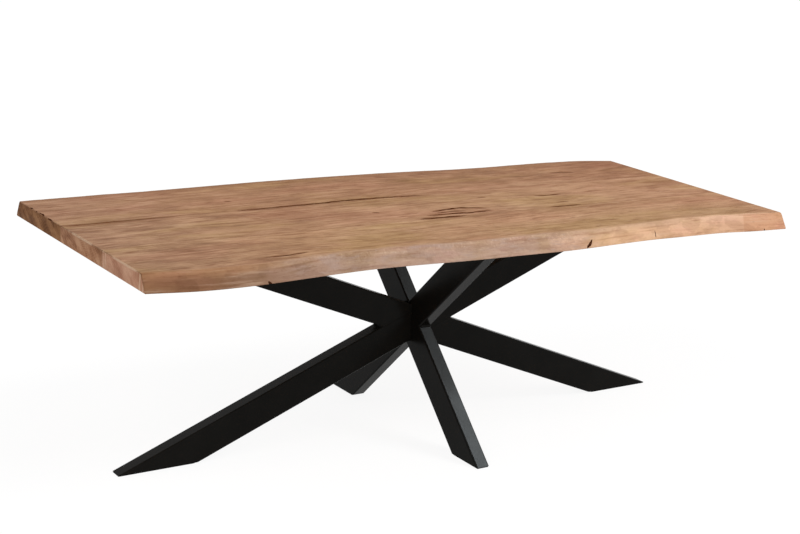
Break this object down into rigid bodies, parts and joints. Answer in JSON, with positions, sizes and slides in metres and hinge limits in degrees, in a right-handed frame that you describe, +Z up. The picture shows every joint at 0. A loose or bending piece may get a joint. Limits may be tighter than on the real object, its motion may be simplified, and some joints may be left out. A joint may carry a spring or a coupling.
{
  "type": "live edge dining table",
  "caption": "Long dining table with a thick live edge wood top of glued planks on a black spider base of crossed rectangular steel tubes.",
  "frame": {"origin": "on the floor, under the hub of the base and the middle of the table's box", "axes": "+X along the table to its right end, +Y to the back live edge, +Z up"},
  "size_m": [2.4, 1.024, 0.76],
  "materials": {
    "top_wood": "brushed and oiled matt",
    "dowel_wood": "plain turned",
    "frame_steel": "fine texture black powder coat",
    "foot_pad": "matt",
    "fastener_steel": "zinc plated",
    "insert_brass": "machined"
  },
  "bodies": {
    "root": {"plank_back": "top_wood", "plank_centre": "top_wood", "plank_front": "top_wood", "dowels_back_joint": "dowel_wood", "dowels_front_joint": "dowel_wood", "through_bar": "frame_steel", "leg_right": "frame_steel", "arm_left": "frame_steel", "leg_front": "frame_steel", "arm_front": "frame_steel", "leg_back": "frame_steel", "arm_back": "frame_steel", "mount_bolts": "fastener_steel", "mount_washers": "fastener_steel", "threaded_inserts": "insert_brass", "mount_plate_left": "frame_steel", "foot_plate_left": "frame_steel", "foot_pad_left": "foot_pad", "mount_plate_right": "frame_steel", "foot_plate_right": "frame_steel", "foot_pad_right": "foot_pad", "mount_plate_front": "frame_steel", "foot_plate_front": "frame_steel", "foot_pad_front": "foot_pad", "mount_plate_back": "frame_steel", "foot_plate_back": "frame_steel", "foot_pad_back": "foot_pad"}
  },
  "joints": []
}
